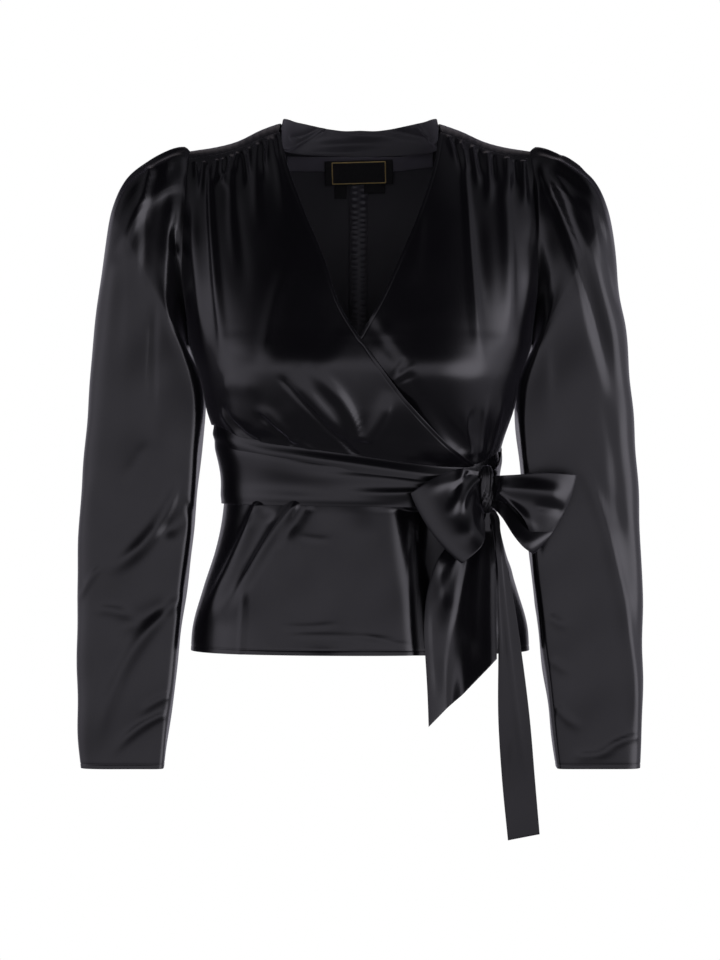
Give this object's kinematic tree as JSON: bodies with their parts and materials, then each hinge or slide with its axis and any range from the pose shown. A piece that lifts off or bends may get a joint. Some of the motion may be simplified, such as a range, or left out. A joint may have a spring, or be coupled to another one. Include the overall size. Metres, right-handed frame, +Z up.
{
  "type": "wrap top",
  "caption": "Satin wrap top with gathered shoulders, long puff sleeves, a peplum and a sash tied in a bow at the side, filled out as when worn.",
  "frame": {"origin": "midway between the shoulders at the height of the shoulder line, where the wearer's shoulders carry the top", "axes": "+Z up, the front faces -Y, and the wearer's left side lies towards +X"},
  "size_m": [0.56, 0.2443, 0.7137],
  "materials": {
    "bow_knot": "satin",
    "bow_loop_left": "satin",
    "bow_loop_right": "satin",
    "care_tab": "matt woven",
    "label": "matt woven",
    "left_back": "satin",
    "left_back_peplum": "satin",
    "left_back_waistband": "satin",
    "left_front": "satin",
    "left_front_peplum": "satin",
    "left_front_waistband": "satin",
    "left_sleeve": "satin",
    "left_yoke": "satin",
    "narrow_tail": "satin",
    "neck_band": "satin",
    "neck_tape": "satin",
    "right_back": "satin",
    "right_back_peplum": "satin",
    "right_back_waistband": "satin",
    "right_front": "satin",
    "right_front_peplum": "satin",
    "right_front_waistband": "satin",
    "right_sleeve": "satin",
    "right_yoke": "satin",
    "sash_back": "satin",
    "sash_front": "satin",
    "size_tab": "matt woven",
    "wide_tail": "satin"
  },
  "bodies": {
    "root": {"bow_knot": "bow_knot", "bow_loop_left": "bow_loop_left", "bow_loop_right": "bow_loop_right", "care_tab": "care_tab", "label": "label", "left_back": "left_back", "left_back_peplum": "left_back_peplum", "left_back_waistband": "left_back_waistband", "left_front": "left_front", "left_front_peplum": "left_front_peplum", "left_front_waistband": "left_front_waistband", "left_sleeve": "left_sleeve", "left_yoke": "left_yoke", "narrow_tail": "narrow_tail", "neck_band": "neck_band", "neck_tape": "neck_tape", "right_back": "right_back", "right_back_peplum": "right_back_peplum", "right_back_waistband": "right_back_waistband", "right_front": "right_front", "right_front_peplum": "right_front_peplum", "right_front_waistband": "right_front_waistband", "right_sleeve": "right_sleeve", "right_yoke": "right_yoke", "sash_back": "sash_back", "sash_front": "sash_front", "size_tab": "size_tab", "wide_tail": "wide_tail"}
  },
  "joints": []
}
